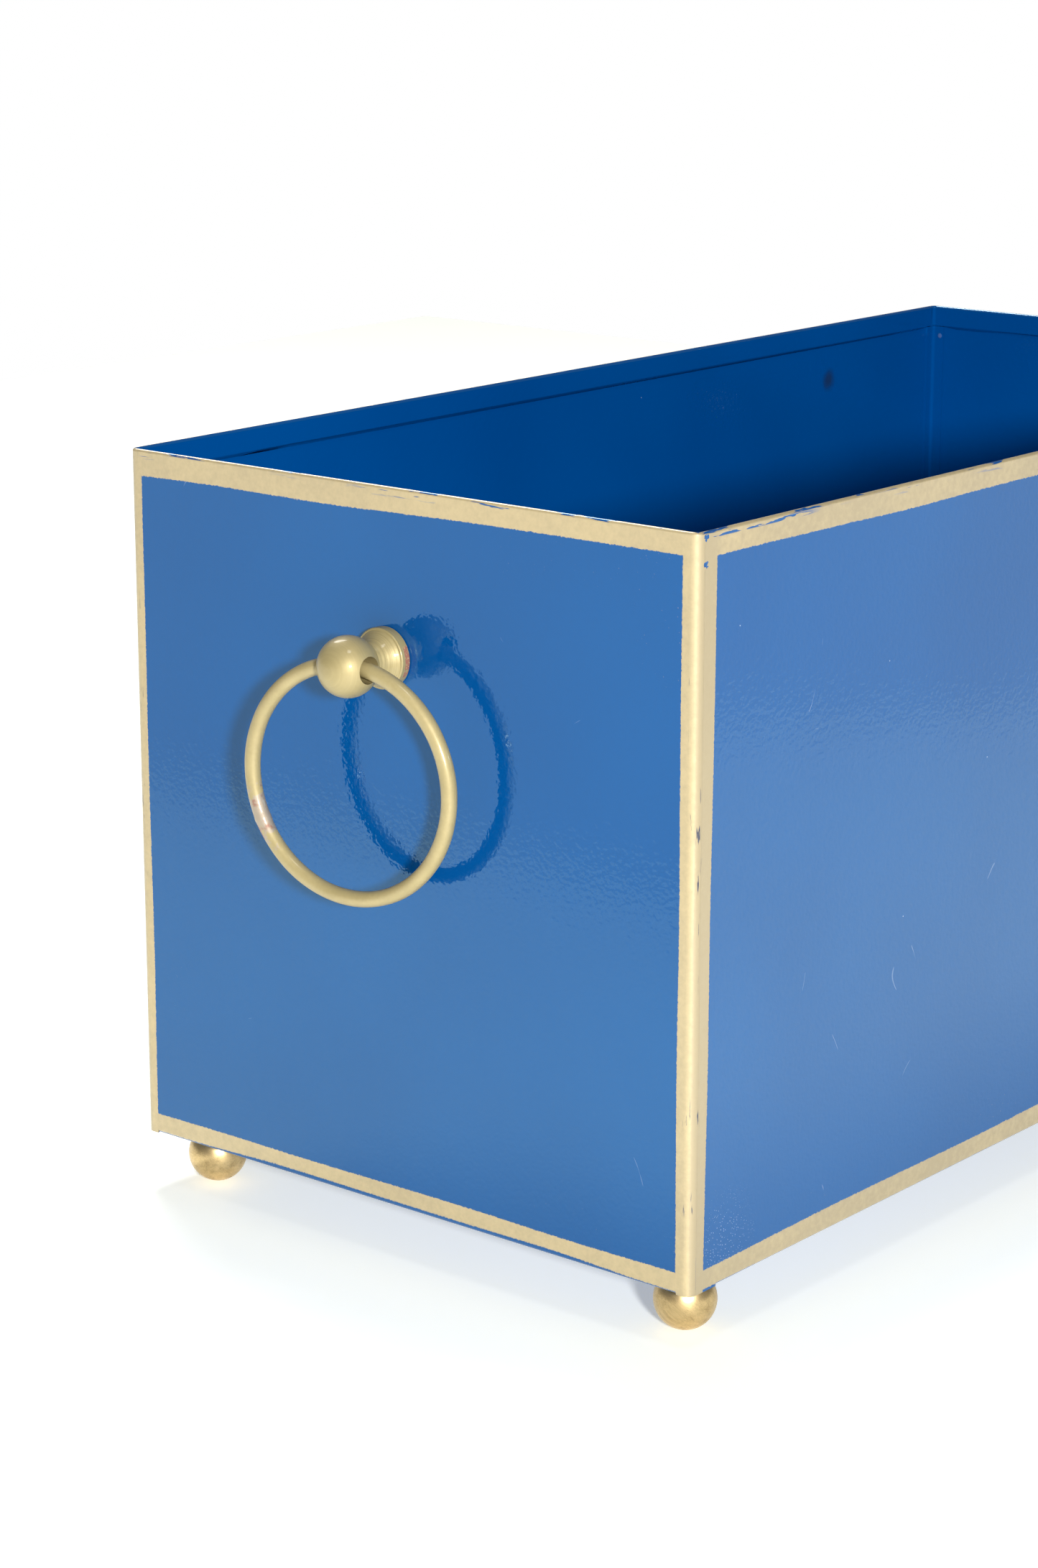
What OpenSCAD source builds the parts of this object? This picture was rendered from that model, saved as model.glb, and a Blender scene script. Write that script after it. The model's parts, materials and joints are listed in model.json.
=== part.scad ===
// Rectangular painted sheet-metal planter: four hemmed walls, a bottom panel, four ball feet,
// and at each end a turned post that carries a swinging ring handle.
// Millimetres, +Z up. The origin is on the ground under the middle of the box, with +X along
// its length. The walls are named as seen from the front, which faces -Y.

/* [Box] */
// Outside length of the box, along X
box_l = 460; // [300:5:700]
// Outside width of the box, along Y
box_w = 226; // [160:2:360]
// Height of the sheet-metal box without its feet
box_h = 229; // [160:1:320]
// Thickness of the sheet metal
sheet_t = 0.9; // [0.7:0.1:1.2]
// Outside radius of the upright corner bends
corner_r = 3; // [2.6:0.1:4.5]
// Outside radius of the bends along the bottom edges
base_r = 1.5; // [1.3:0.1:2]

/* [Rim, laps and flanges] */
// Height of the hem that is folded down inside the rim
hem_h = 8; // [5:0.5:15]
// Reach of the long walls' corner laps, measured from their outer face
lap_w = 6.5; // [5.5:0.5:15]
// Width of the end walls' bottom flanges
end_flange_w = 12; // [8:1:12]
// Width of the long walls' bottom flanges
long_flange_w = 24; // [22:1:40]
// Length at each corner where the bottom edge is left without a flange
flange_gap = 5; // [5:0.5:8]

/* [Feet] */
// Diameter of the ball feet
foot_d = 19.5; // [16:0.5:24]
// Depth of the flat on top of each ball foot
foot_flat = 0.4; // [0.4:0.1:1]
// Distance from the end of the box to the feet's centres
foot_in_x = 18; // [18:0.5:30]
// Distance from the side of the box to the feet's centres
foot_in_y = 15; // [12:0.5:17]

/* [Handles] */
// Distance from the rim down to the ring's pivot
handle_drop = 52; // [45:1:80]
// Sideways offset of the handles from the middle of the end walls, towards the back
handle_shift = 4; // [-10:1:10]
// Distance from the end wall to the middle of the post's ball
post_reach = 17.6; // [17:0.1:19]
// Diameter of the post's ball
post_ball_d = 19; // [19:0.5:20]
// Diameter of the post's base
post_base_d = 19; // [17:0.5:22]
// Diameter of the hole that the ring passes through
ring_hole_d = 8.4; // [8.4:0.1:9]
// Mean diameter of the ring
ring_d = 72.4; // [68:0.2:76]
// Diameter of the ring's wire
wire_d = 5; // [4.5:0.1:5]
// Angle that the ring is turned about the vertical as it hangs
ring_yaw = 7; // [0:1:7]
// Height of the wire's centre above the hole's axis, inside the post
ring_rise = 0.4; // [0.4:0.1:0.6]

/* [Fasteners] */
// Diameter of the screw shanks
screw_d = 3.9; // [3.5:0.1:3.9]
// Diameter of the tapped bores in the posts and feet
bore_d = 4; // [4:0.1:4.2]
// Diameter of the clearance holes in the sheet metal
clear_d = 4.4; // [4.3:0.1:4.8]
// Length of each screw inside its post or foot
screw_grip = 8; // [6:0.5:8]
// Diameter of the screw heads
head_d = 7.6; // [7:0.2:8]
// Height of the screw heads
head_h = 2.4; // [2.2:0.1:2.8]
// Diameter of the washers
washer_d = 9.6; // [9:0.2:10]
// Thickness of the washers
washer_t = 0.8; // [0.6:0.1:1]

/* [Hidden] */
$fn = 64;

// Colours
blue = "#2a5fa6";
inside_blue = "#0b4684";
gold = "#cdb57a";
brass = "#b08a4c";
steel = "#9a9fa6";

// Clearance between sheets that lie on each other
fit_gap = 0.05;
// Clearance around the bottom panel and at both ends of the corner laps
loose_gap = 0.3;
// Length by which pieces of one solid run into each other
blend = 1;

// Height of the box's bottom edge above the ground
base_z = foot_d - foot_flat;
rim_z = base_z + box_h;
// Floor that the screw heads inside the box stand on
floor_z = base_z + 2 * sheet_t;
// Straight length of the walls between their corner bends
long_run = box_l - 2 * corner_r;
end_run = box_w - 2 * corner_r;
// Inset of the bottom panel from the walls' outer faces
panel_inset = base_r + 0.1;

// Places of the feet
foot_x = box_l / 2 - foot_in_x;
foot_y = box_w / 2 - foot_in_y;
foot_bore_depth = screw_grip + 1;

// Place of the left handle's pivot; the right one is its mirror image
pivot_x = -box_l / 2 - post_reach;
pivot_z = rim_z - handle_drop;

// Turned profile of the post: base lip, hollow flare, then the ball
lip_h = 3.8;
lip_edge_r = 0.6;
flare_base_r = post_base_d / 2 - lip_edge_r;
neck_r = 5.2;
neck_h = post_reach - sqrt(pow(post_ball_d / 2, 2) - neck_r * neck_r);
// The flare is a cone hollowed by a circular arc of this depth
flare_sag = 0.5;
flare_run = [neck_r - flare_base_r, neck_h - lip_h];
flare_chord = norm(flare_run);
flare_arc_r = flare_chord * flare_chord / (8 * flare_sag) + flare_sag / 2;
flare_mid = [(neck_r + flare_base_r) / 2, (neck_h + lip_h) / 2];
flare_normal = [flare_run[1], -flare_run[0]] / flare_chord;
flare_centre = flare_mid + flare_normal * (flare_arc_r - flare_sag);

// Screw heads
slot_w = 1.1;
slot_depth = 0.9;
head_dome_r = 6;

// ---- Sections of the bent sheet: x is the distance inward from the outer face, y is up ----

// A quarter of a ring that joins the upright sheet to the flange below it
module bottom_bend() {
    translate([base_r, base_r])
        intersection() {
            difference() {
                circle(base_r);
                circle(base_r - sheet_t);
            }
            translate([-2 * base_r, -2 * base_r])
                square(2 * base_r);
        }
}

// Upright sheet above the bottom bend, with the hem folded down inside the rim
module upright_section() {
    translate([0, base_r])
        square([sheet_t, box_h - base_r - sheet_t]);
    translate([sheet_t / 2, box_h - hem_h])
        square([1.5 * sheet_t, hem_h - sheet_t]);
    translate([sheet_t, box_h - sheet_t])
        circle(sheet_t);
}

// The same sheet where it runs straight down to the bottom edge
module unbent_section() {
    upright_section();
    square([sheet_t, base_r + blend]);
}

// Bottom bend and flange
module flange_section(width) {
    bottom_bend();
    translate([base_r, 0])
        square([width - base_r, sheet_t]);
}

// A bent wall in its own frame: outer face on the XZ plane facing -Y, centred along X.
// run is its straight length, flange_run the length that has a bottom flange.
module bent_wall(run, flange_run, flange_width) {
    rotate([90, 0, 90]) {
        linear_extrude(height = run, center = true)
            upright_section();
        linear_extrude(height = flange_run, center = true)
            flange_section(flange_width);
    }
    for (side = [-1, 1])
        translate([side * (run + flange_run) / 4, 0, 0])
            rotate([90, 0, 90])
                linear_extrude(height = (run - flange_run) / 2, center = true)
                    unbent_section();
}

// Upright corner bend, with the hem following it, about its own axis
module corner_bend() {
    rotate([0, 0, 180])
        rotate_extrude(angle = 90)
            translate([corner_r, 0])
                mirror([1, 0])
                    unbent_section();
}

// ---- Walls ----

// The end wall turns both corners and butts against the long walls
module left_end_wall() {
    color(blue)
        difference() {
            translate([-box_l / 2, 0, base_z])
                union() {
                    rotate([0, 0, -90])
                        bent_wall(end_run, box_w - 2 * flange_gap, end_flange_w);
                    for (side = [0, 1])
                        mirror([0, side, 0])
                            translate([corner_r, -end_run / 2, 0])
                                corner_bend();
                }
            translate([-box_l / 2 - blend, handle_shift, pivot_z])
                rotate([0, 90, 0])
                    cylinder(d = clear_d, h = 2 * blend + sheet_t);
        }
}

module right_end_wall() {
    mirror([1, 0, 0])
        left_end_wall();
}

// Lap at the left end of the front wall: it follows the inside of the end wall's corner bend
// and lies against the end wall, under the hem
module corner_lap() {
    lap_z = floor_z + loose_gap;
    lap_h = rim_z - hem_h - loose_gap - lap_z;
    translate([-box_l / 2, -box_w / 2, lap_z]) {
        // Double thickness next to the seam
        translate([corner_r + fit_gap, sheet_t / 2, 0])
            cube([corner_r, 1.5 * sheet_t, lap_h]);
        // Inner bend
        translate([corner_r, corner_r, 0])
            intersection() {
                difference() {
                    cylinder(r = corner_r - sheet_t - fit_gap, h = lap_h);
                    translate([0, 0, -blend])
                        cylinder(r = corner_r - 2 * sheet_t, h = lap_h + 2 * blend);
                }
                translate([-2 * corner_r, -2 * corner_r, 0])
                    cube([2 * corner_r, 2 * corner_r, lap_h]);
            }
        // The step from the seam's inner layer down to the bend
        translate([corner_r - fit_gap, sheet_t + fit_gap, 0])
            cube([blend, sheet_t - fit_gap, lap_h]);
        // Flat part against the end wall
        translate([sheet_t + fit_gap, corner_r - fit_gap, 0])
            cube([sheet_t - fit_gap, lap_w - corner_r + fit_gap, lap_h]);
    }
}

module front_wall() {
    color(blue)
        difference() {
            union() {
                translate([0, -box_w / 2, base_z])
                    bent_wall(long_run - 2 * fit_gap,
                              box_l - 2 * (end_flange_w + blend), long_flange_w);
                for (side = [0, 1])
                    mirror([side, 0, 0])
                        corner_lap();
            }
            for (side = [-1, 1])
                translate([side * foot_x, -foot_y, base_z - blend])
                    cylinder(d = clear_d, h = sheet_t + 2 * blend);
        }
}

module back_wall() {
    mirror([0, 1, 0])
        front_wall();
}

// Flat panel that lies on the four flanges
module bottom_panel() {
    length = box_l - 2 * panel_inset;
    width = box_w - 2 * panel_inset;
    corner = corner_r - panel_inset;
    color(inside_blue)
        difference() {
            translate([0, 0, base_z + sheet_t])
                linear_extrude(height = sheet_t) {
                    square([length, width - 2 * corner], center = true);
                    square([length - 2 * corner, width], center = true);
                    for (sx = [-1, 1], sy = [-1, 1])
                        translate([sx * (length / 2 - corner), sy * (width / 2 - corner)])
                            circle(corner);
                }
            for (sx = [-1, 1], sy = [-1, 1])
                translate([sx * foot_x, sy * foot_y, base_z])
                    cylinder(d = clear_d, h = 3 * sheet_t);
        }
}

// ---- Turned parts and fasteners, each about its own axis ----

// Ball foot with a flat and a tapped bore on top, standing on the ground
module ball_foot() {
    color(brass)
        difference() {
            translate([0, 0, foot_d / 2])
                sphere(d = foot_d);
            translate([-foot_d, -foot_d, base_z])
                cube([2 * foot_d, 2 * foot_d, foot_d]);
            translate([0, 0, base_z - foot_bore_depth])
                cylinder(d = bore_d, h = foot_bore_depth + blend);
        }
}

// Post with its base on the XY plane and its ball above it; the cross hole runs along Y
module handle_post() {
    color(gold)
        difference() {
            union() {
                rotate_extrude() {
                    // Base lip with rounded edges
                    square([flare_base_r, lip_h]);
                    translate([0, lip_edge_r])
                        square([post_base_d / 2, lip_h - 2 * lip_edge_r]);
                    for (edge_h = [lip_edge_r, lip_h - lip_edge_r])
                        translate([flare_base_r, edge_h])
                            circle(lip_edge_r);
                    // Hollow flare from the lip up to the ball
                    difference() {
                        polygon([[0, blend], [flare_base_r, blend], [flare_base_r, lip_h],
                                 [neck_r, neck_h], [neck_r - blend, neck_h + blend],
                                 [0, neck_h + blend]]);
                        translate(flare_centre)
                            circle(flare_arc_r);
                    }
                }
                translate([0, 0, post_reach])
                    sphere(d = post_ball_d);
            }
            // Cross hole for the ring
            translate([0, 0, post_reach])
                rotate([90, 0, 0])
                    cylinder(d = ring_hole_d, h = 2 * post_ball_d, center = true);
            // Tapped bore for the fixing screw
            translate([0, 0, -blend])
                cylinder(d = bore_d, h = screw_grip + 2 * blend);
        }
}

// Ring hanging from the origin, which is on the cross hole's axis
module handle_ring() {
    color(gold)
        translate([0, 0, ring_rise - ring_d / 2])
            rotate([0, 0, ring_yaw])
                rotate([0, 90, 0])
                    rotate_extrude()
                        translate([ring_d / 2, 0])
                            circle(d = wire_d);
}

// Flat washer lying on the XY plane
module washer() {
    color(steel)
        difference() {
            cylinder(d = washer_d, h = washer_t);
            translate([0, 0, -blend])
                cylinder(d = clear_d, h = washer_t + 2 * blend);
        }
}

// Slotted domed screw: its head stands on the XY plane and its shank runs down
module screw(shank) {
    color(steel)
        difference() {
            union() {
                translate([0, 0, -shank])
                    cylinder(d = screw_d, h = shank + blend);
                intersection() {
                    cylinder(d = head_d, h = head_h);
                    translate([0, 0, head_h - head_dome_r])
                        sphere(r = head_dome_r);
                }
            }
            translate([0, 0, head_h])
                cube([2 * head_d, slot_w, 2 * slot_depth], center = true);
        }
}

// ---- Placing ----

// Left or right handle part whose own XY plane is the inside or outside of the end wall
module on_end(side, depth, out) {
    mirror([side, 0, 0])
        translate([-box_l / 2 + depth, handle_shift, pivot_z])
            rotate([0, out * 90, 0])
                children();
}

module foot_at(sx, sy, z) {
    translate([sx * foot_x, sy * foot_y, z])
        children();
}

module foot_washer(sx, sy) {
    foot_at(sx, sy, floor_z)
        washer();
}

module foot_screw(sx, sy) {
    foot_at(sx, sy, floor_z + washer_t)
        screw(2 * sheet_t + washer_t + screw_grip);
}

module foot(sx, sy) {
    foot_at(sx, sy, 0)
        ball_foot();
}

module end_post(side) {
    on_end(side, 0, -1)
        handle_post();
}

module end_washer(side) {
    on_end(side, sheet_t, 1)
        washer();
}

module end_screw(side) {
    on_end(side, sheet_t + washer_t, 1)
        screw(sheet_t + washer_t + screw_grip);
}

module end_ring(side) {
    mirror([side, 0, 0])
        translate([pivot_x, handle_shift, pivot_z])
            handle_ring();
}

left_end_wall();
right_end_wall();
front_wall();
back_wall();
bottom_panel();
foot(-1, -1);  // foot_front_left
foot(1, -1);  // foot_front_right
foot(-1, 1);  // foot_back_left
foot(1, 1);  // foot_back_right
foot_washer(-1, -1);  // foot_washer_front_left
foot_washer(1, -1);  // foot_washer_front_right
foot_washer(-1, 1);  // foot_washer_back_left
foot_washer(1, 1);  // foot_washer_back_right
foot_screw(-1, -1);  // foot_screw_front_left
foot_screw(1, -1);  // foot_screw_front_right
foot_screw(-1, 1);  // foot_screw_back_left
foot_screw(1, 1);  // foot_screw_back_right
end_post(0);  // left_handle_post
end_post(1);  // right_handle_post
end_ring(0);  // left_handle_ring
end_ring(1);  // right_handle_ring
end_washer(0);  // left_handle_washer
end_washer(1);  // right_handle_washer
end_screw(0);  // left_handle_screw
end_screw(1);  // right_handle_screw
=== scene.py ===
"""Looks of the painted sheet-metal planter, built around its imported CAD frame.

Everything is in metres in the CAD frame: +Z up, +X along the box, the front facing -Y.
"""

import json
import math

import bmesh
import bpy
from mathutils import Matrix, Vector, noise


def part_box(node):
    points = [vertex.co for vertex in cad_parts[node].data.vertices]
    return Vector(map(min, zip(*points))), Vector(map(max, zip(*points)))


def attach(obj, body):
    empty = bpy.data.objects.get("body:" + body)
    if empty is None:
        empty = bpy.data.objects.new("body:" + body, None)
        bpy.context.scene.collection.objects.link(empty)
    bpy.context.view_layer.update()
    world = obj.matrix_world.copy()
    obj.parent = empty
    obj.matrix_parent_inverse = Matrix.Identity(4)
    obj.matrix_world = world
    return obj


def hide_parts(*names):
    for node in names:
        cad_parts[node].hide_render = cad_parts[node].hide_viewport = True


MM = 0.001

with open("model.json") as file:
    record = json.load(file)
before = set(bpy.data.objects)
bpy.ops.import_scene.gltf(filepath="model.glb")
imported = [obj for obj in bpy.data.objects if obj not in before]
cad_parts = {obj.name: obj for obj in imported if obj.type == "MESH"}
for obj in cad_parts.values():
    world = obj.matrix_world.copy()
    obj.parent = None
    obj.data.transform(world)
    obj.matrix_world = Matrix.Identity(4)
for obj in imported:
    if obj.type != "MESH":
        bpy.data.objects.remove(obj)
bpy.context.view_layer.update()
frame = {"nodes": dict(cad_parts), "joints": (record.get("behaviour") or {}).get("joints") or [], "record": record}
record = frame["record"]

# ---- Sizes, read from the frame ----

END_LO, END_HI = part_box("left_end_wall")
PANEL_LO, PANEL_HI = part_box("bottom_panel")
HALF_L = -END_LO.x
HALF_W = END_HI.y
BASE_Z = END_LO.z
RIM_Z = END_HI.z
SHEET = PANEL_HI.z - PANEL_LO.z
CORNER_R = 3 * MM
BASE_R = 1.5 * MM
HEM = 8 * MM
# Spot welds down the corner laps: the first below the hem, how far apart, how far in, radius
WELD_TOP = 4 * MM
WELD_STEP = 62 * MM
WELD_IN = 5 * MM
WELD_R = 1.2 * MM
SIDES = {"left": -1, "right": 1}
JOINT = {j["name"]: j for j in frame["joints"]}
NODE_BODY = {n: b for b, nodes in record["behaviour"]["bodies"].items() for n in nodes}


def pivot(side):
    """Where the ring of that end turns in its post."""
    return Vector(JOINT[side + "_ring_swing"]["pos_m"])


# ---- Shader graphs ----


class Value:
    """A shader socket that arithmetic works on."""

    def __init__(self, graph, socket):
        self.graph = graph
        self.socket = socket

    def __add__(self, other):
        return self.graph.math("ADD", self, other)

    def __sub__(self, other):
        return self.graph.math("SUBTRACT", self, other)

    def __rsub__(self, other):
        return self.graph.math("SUBTRACT", other, self)

    def __mul__(self, other):
        return self.graph.math("MULTIPLY", self, other)

    def __abs__(self):
        return self.graph.math("ABSOLUTE", self)

    __radd__ = __add__

    def fade(self, low, high):
        """0 below low, 1 above high, and smooth between; falls instead if low is the larger."""
        n = self.graph.node("ShaderNodeMapRange", interpolation_type="SMOOTHSTEP", clamp=True)
        flip = low > high
        ends = (high, low) if flip else (low, high)
        targets = (1.0, 0.0) if flip else (0.0, 1.0)
        self.graph.put(n.inputs["Value"], self)
        n.inputs["From Min"].default_value, n.inputs["From Max"].default_value = ends
        n.inputs["To Min"].default_value, n.inputs["To Max"].default_value = targets
        return Value(self.graph, n.outputs["Result"])


class Graph:
    """A new material with one Principled shader, and short ways to add nodes to it."""

    def __init__(self, name):
        self.material = bpy.data.materials.new(name)
        self.material.use_nodes = True
        self.tree = self.material.node_tree
        self.tree.nodes.clear()
        self.shader = self.node("ShaderNodeBsdfPrincipled")
        output = self.node("ShaderNodeOutputMaterial")
        self.tree.links.new(self.shader.outputs["BSDF"], output.inputs["Surface"])
        self.position = self.node("ShaderNodeTexCoord").outputs["Object"]

    def node(self, kind, **settings):
        made = self.tree.nodes.new(kind)
        for key, value in settings.items():
            setattr(made, key, value)
        return made

    def put(self, socket, value):
        if isinstance(value, Value):
            value = value.socket
        if isinstance(value, bpy.types.NodeSocket):
            self.tree.links.new(value, socket)
        else:
            socket.default_value = value

    def set(self, **inputs):
        """Sets the shader's inputs: base_color=..., coat_weight=... and so on."""
        for key, value in inputs.items():
            words = key.split("_")
            name = " ".join(w.upper() if w == "ior" else w.capitalize() for w in words)
            self.put(self.shader.inputs[name], value)

    def math(self, operation, a, b=0.0):
        n = self.node("ShaderNodeMath", operation=operation)
        self.put(n.inputs[0], a)
        self.put(n.inputs[1], b)
        return Value(self, n.outputs[0])

    def larger(self, a, b):
        return self.math("MAXIMUM", a, b)

    def smaller(self, a, b):
        return self.math("MINIMUM", a, b)

    def xyz(self):
        """The position's three parts."""
        n = self.node("ShaderNodeSeparateXYZ")
        self.put(n.inputs[0], self.position)
        return [Value(self, n.outputs[i]) for i in range(3)]

    def mapped(self, stretch, turn=(0, 0, 0), shift=0.0):
        """The position turned by degrees about X, Y and Z, then scaled by stretch on each axis."""
        turned = self.node("ShaderNodeMapping", vector_type="POINT")
        self.put(turned.inputs["Vector"], self.position)
        turned.inputs["Rotation"].default_value = [math.radians(t) for t in turn]
        turned.inputs["Location"].default_value = (shift, shift, shift)
        scaled = self.node("ShaderNodeMapping", vector_type="POINT")
        self.put(scaled.inputs["Vector"], turned.outputs[0])
        scaled.inputs["Scale"].default_value = stretch
        return scaled.outputs[0]

    def noise(self, scale, detail=2.0, rough=0.5, stretch=(1, 1, 1), turn=(0, 0, 0), shift=0.0):
        """Smooth noise about 0, mostly within -0.25 and 0.25, with features 1/scale metres wide."""
        n = self.node("ShaderNodeTexNoise")
        self.put(n.inputs["Vector"], self.mapped(stretch, turn, shift))
        n.inputs["Scale"].default_value = scale
        n.inputs["Detail"].default_value = detail
        n.inputs["Roughness"].default_value = rough
        return Value(self, n.outputs[0]) - 0.5

    def dots(self, scale, radius, share, shift=0.0):
        """1 inside small round dots, in that share of the cells 1/scale metres wide, else 0."""
        n = self.node("ShaderNodeTexVoronoi")
        self.put(n.inputs["Vector"], self.mapped((1, 1, 1), shift=shift))
        n.inputs["Scale"].default_value = scale
        dot = Value(self, n.outputs["Distance"]).fade(radius * scale, 0.6 * radius * scale)
        pick = self.node("ShaderNodeSeparateColor")
        self.put(pick.inputs[0], n.outputs["Color"])
        return dot * Value(self, pick.outputs[0]).fade(share + 0.01, share - 0.01)

    def distance(self, centre):
        """How far the position is from a point."""
        n = self.node("ShaderNodeVectorMath", operation="DISTANCE")
        self.put(n.inputs[0], self.position)
        n.inputs[1].default_value = centre
        return Value(self, n.outputs["Value"])

    def spot(self, centre, radius, ragged, grain, core=0.8):
        """1 near a point, up to core of the radius, with an edge that noise makes ragged."""
        away = self.distance(centre) + self.noise(grain) * (ragged * radius * 4)
        return away.fade(radius, core * radius)

    def mix(self, share, a, b):
        """Colour a where share is 0, b where it is 1."""
        n = self.node("ShaderNodeMix", data_type="RGBA")
        self.put(n.inputs[0], share)
        self.put(n.inputs[6], a if isinstance(a, (Value, bpy.types.NodeSocket)) else (*a, 1))
        self.put(n.inputs[7], b if isinstance(b, (Value, bpy.types.NodeSocket)) else (*b, 1))
        return n.outputs[2]

    def bump(self, height, distance, below=None):
        """A normal from a height of 0 to 1 that stands for distance metres."""
        n = self.node("ShaderNodeBump")
        self.put(n.inputs["Height"], height)
        n.inputs["Distance"].default_value = distance
        if below is not None:
            self.put(n.inputs["Normal"], below)
        return n.outputs[0]


# ---- Colours, as linear RGB ----

BLUE = (0.0, 0.065, 0.242)
BLUE_DEEP = (0.0, 0.057, 0.220)
# The inside's enamel is the outside's blue painted lighter: painted light where the inside is lit less
BLUE_INSIDE_PAINTED_LIGHTER = (0.0, 0.068, 0.275)
BLUE_INSIDE_PAINTED_LIGHTER_DEEP = (0.0, 0.058, 0.245)
BLUE_DARK = (0.003, 0.018, 0.065)
BLUE_SHEEN = (0.50, 0.88, 1.0)
GOLD_PAINT = (0.545, 0.430, 0.225)
# Duller gold, also used as the painted shade of the gold on the long walls
GOLD_PAINT_DULL_AND_SHADED = (0.400, 0.320, 0.180)
GOLD_LACQUER = (0.430, 0.345, 0.160)
GOLD_LACQUER_DULL = (0.325, 0.260, 0.110)
BRASS = (0.700, 0.520, 0.260)
BRASS_DARK = (0.350, 0.240, 0.105)
BARE_SILVER = (0.420, 0.350, 0.310)
COPPER_WEAR = (0.300, 0.120, 0.075)
DUST = (0.550, 0.620, 0.720)
ZINC = (0.520, 0.530, 0.540)
ZINC_DARK = (0.300, 0.300, 0.290)
# Painted shade for the inside's bottom corners
BOTTOM_CORNER_SHADE = (0.030, 0.030, 0.035)
STAIN = (0.008, 0.012, 0.030)

# ---- Enamel and gold paint ----

# Height of the orange peel that spraying leaves in the enamel
PEEL = 0.060 * MM
# Widths of the gold stripes before they drift, and how far their edges blur
RIM_STRIPE = 7.6 * MM
CORNER_STRIPE = 5.5 * MM
BASE_STRIPE = 7.1 * MM
STRIPE_EDGE = 0.14 * MM


def blue_enamel(g, light, deep):
    """Colour, roughness and orange-peel height of the blue enamel."""
    tone = g.mix(g.noise(9).fade(-0.2, 0.25), light, deep)
    dusty = g.larger(g.dots(90, 0.24 * MM, 0.16), g.dots(40, 0.42 * MM, 0.10, shift=0.37))
    tone = g.mix(dusty * 0.55, tone, DUST)
    smudges = g.noise(14, detail=3, shift=0.7).fade(0.02, 0.24)
    roughness = 0.012 + smudges * 0.024 + dusty * 0.3
    peel = g.noise(640, detail=1) + g.noise(200, detail=0, shift=0.2) * 0.35
    return tone, roughness, peel


class OnWall:
    """Where a point of the walls' outside lies, as shader values: metres, or 0 to 1."""

    def __init__(self, g):
        self.x, self.y, z = g.xyz()
        self.from_end = HALF_L - abs(self.x)
        self.from_side = HALF_W - abs(self.y)
        self.from_corner = g.larger(self.from_end, self.from_side)
        self.depth = g.smaller(self.from_end, self.from_side)
        self.from_rim = RIM_Z - z
        self.from_base = z - BASE_Z
        self.height = self.from_base * (1 / (RIM_Z - BASE_Z))
        self.on_long_wall = (self.from_end - self.from_side).fade(-1.0 * MM, 1.0 * MM)
        self.left_half = self.x.fade(0, -1 * MM)
        self.front_half = self.y.fade(0, -1 * MM)


def gold_stripes(g, at):
    """1 where the gold border stripes, painted by hand, lie on the enamel."""
    # The widths drift: the end rims widen to the back, the long walls' corners to the top
    rim_width = RIM_STRIPE + (1.0 - at.on_long_wall) * at.y * (0.85 * MM / HALF_W)
    corner_width = CORNER_STRIPE + at.on_long_wall * (1.2 * MM + at.height * (2.2 * MM))
    # The edges wander slowly and are ragged where the masking let paint creep
    wander = g.noise(9, detail=1) * (2.6 * MM)
    ragged = g.noise(1000, detail=3, rough=0.75) * (1.2 * MM)
    brushed = g.noise(230, detail=2, shift=0.3) * (0.35 * MM)
    edge = wander + ragged + brushed
    rim = (at.from_rim + edge - rim_width).fade(STRIPE_EDGE, -STRIPE_EDGE)
    corner = (at.from_corner + edge * 0.7 - corner_width).fade(STRIPE_EDGE, -STRIPE_EDGE)
    base = (at.from_base + edge - BASE_STRIPE).fade(STRIPE_EDGE, -STRIPE_EDGE)
    # Blue shows below the lower stripe, most of all in the middle of the end walls
    middle = at.from_side.fade(12 * MM, 60 * MM)
    base_gap = (at.from_base + ragged - middle * (1.1 * MM) - wander * 0.6).fade(0.5 * MM, 0.9 * MM)
    gold = g.larger(g.larger(rim, corner), base * base_gap)
    # The gold ends on top of the rim
    return gold * (at.depth + ragged * 0.5).fade(1.15 * MM, 0.95 * MM)


def rim_wear(g, at):
    """1 on streaks with no gold left: on the rim's crest, and in some places just below it."""
    streaks = g.noise(1, detail=3, stretch=(70, 70, 900), shift=0.11)
    some_places = g.noise(16, shift=0.53).fade(0.0, 0.12)
    below_rim = streaks.fade(0.10, 0.14) * some_places * at.from_rim.fade(3.2 * MM, 2.2 * MM)
    on_crest = streaks.fade(0.06, 0.10) * at.from_rim.fade(0.9 * MM, 0.5 * MM)
    return g.larger(below_rim, on_crest)


def rim_scrape(g, at):
    """1 on a broken scrape under the front rim, near each end."""
    near_end = at.from_end.fade(62 * MM, 48 * MM) * at.from_end.fade(5 * MM, 7 * MM)
    band = at.from_rim.fade(0.7 * MM, 1.0 * MM) * at.from_rim.fade(2.3 * MM, 1.9 * MM)
    broken = g.noise(1, detail=3, stretch=(120, 120, 900), shift=0.67).fade(-0.01, 0.04)
    return broken * near_end * at.front_half * band


def corner_chips(g):
    """1 on two chips beside the front left corner, one under the rim and one a little lower."""
    seam = Vector((-HALF_L + CORNER_R, -HALF_W, RIM_Z))
    upper = g.spot(seam + Vector((0.6, 0, -1.6)) * MM, 1.0 * MM, ragged=0.7, grain=900)
    lower = g.spot(seam + Vector((0.4, 0, -9.3)) * MM, 0.9 * MM, ragged=0.8, grain=900)
    return g.larger(upper, lower)


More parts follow.
